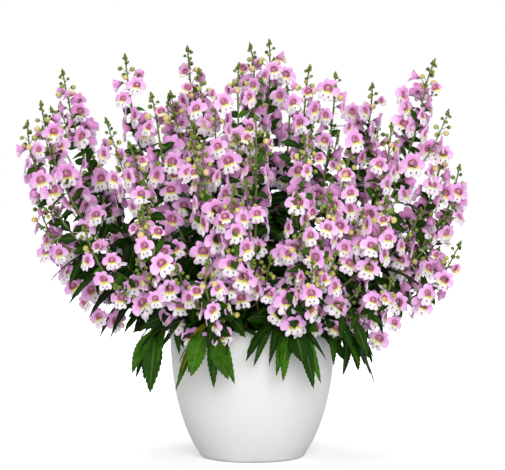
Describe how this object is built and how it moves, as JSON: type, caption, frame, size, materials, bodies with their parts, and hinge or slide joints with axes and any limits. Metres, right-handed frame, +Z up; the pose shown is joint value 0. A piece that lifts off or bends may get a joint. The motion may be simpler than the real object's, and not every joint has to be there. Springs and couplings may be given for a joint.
{
  "type": "potted angelonia",
  "caption": "Bushy bedding plant with upright spikes of small two-tone pink flowers above dark toothed leaves, growing in a plain white bowl-shaped pot.",
  "frame": {"origin": "centre of the pot's flat underside, on the surface that the pot stands on", "axes": "+Z up out of the pot, -Y towards the side of the plant that the picture shows, +X to the right of that view"},
  "size_m": [0.4837, 0.3811, 0.463],
  "materials": {
    "pot_plastic": "satin white",
    "potting_soil": "crumbly, dark and matte",
    "flower_spike": "soft petals, lilac pink to white",
    "leaf": "semi-gloss dark green"
  },
  "bodies": {
    "root": {"pot": "pot_plastic", "soil": "potting_soil", "flowering_stem_01": "flower_spike", "flowering_stem_02": "flower_spike", "flowering_stem_03": "flower_spike", "flowering_stem_04": "flower_spike", "flowering_stem_05": "flower_spike", "flowering_stem_06": "flower_spike", "flowering_stem_07": "flower_spike", "flowering_stem_08": "flower_spike", "flowering_stem_09": "flower_spike", "flowering_stem_10": "flower_spike", "flowering_stem_11": "flower_spike", "flowering_stem_12": "flower_spike", "flowering_stem_13": "flower_spike", "flowering_stem_14": "flower_spike", "flowering_stem_15": "flower_spike", "flowering_stem_16": "flower_spike", "flowering_stem_17": "flower_spike", "flowering_stem_18": "flower_spike", "flowering_stem_19": "flower_spike", "flowering_stem_20": "flower_spike", "flowering_stem_21": "flower_spike", "flowering_stem_22": "flower_spike", "flowering_stem_23": "flower_spike", "flowering_stem_24": "flower_spike", "flowering_stem_25": "flower_spike", "flowering_stem_26": "flower_spike", "flowering_stem_27": "flower_spike", "flowering_stem_28": "flower_spike", "flowering_stem_29": "flower_spike", "flowering_stem_30": "flower_spike", "flowering_stem_31": "flower_spike", "flowering_stem_32": "flower_spike", "flowering_stem_33": "flower_spike", "flowering_stem_34": "flower_spike", "flowering_stem_35": "flower_spike", "flowering_stem_36": "flower_spike", "flowering_stem_37": "flower_spike", "flowering_stem_38": "flower_spike", "flowering_stem_39": "flower_spike", "flowering_stem_40": "flower_spike", "flowering_stem_41": "flower_spike", "flowering_stem_42": "flower_spike", "flowering_stem_43": "flower_spike", "flowering_stem_44": "flower_spike", "leafy_shoot_1": "leaf", "leafy_shoot_2": "leaf", "leafy_shoot_3": "leaf", "leafy_shoot_4": "leaf", "leafy_shoot_5": "leaf", "leafy_shoot_6": "leaf"}
  },
  "joints": []
}
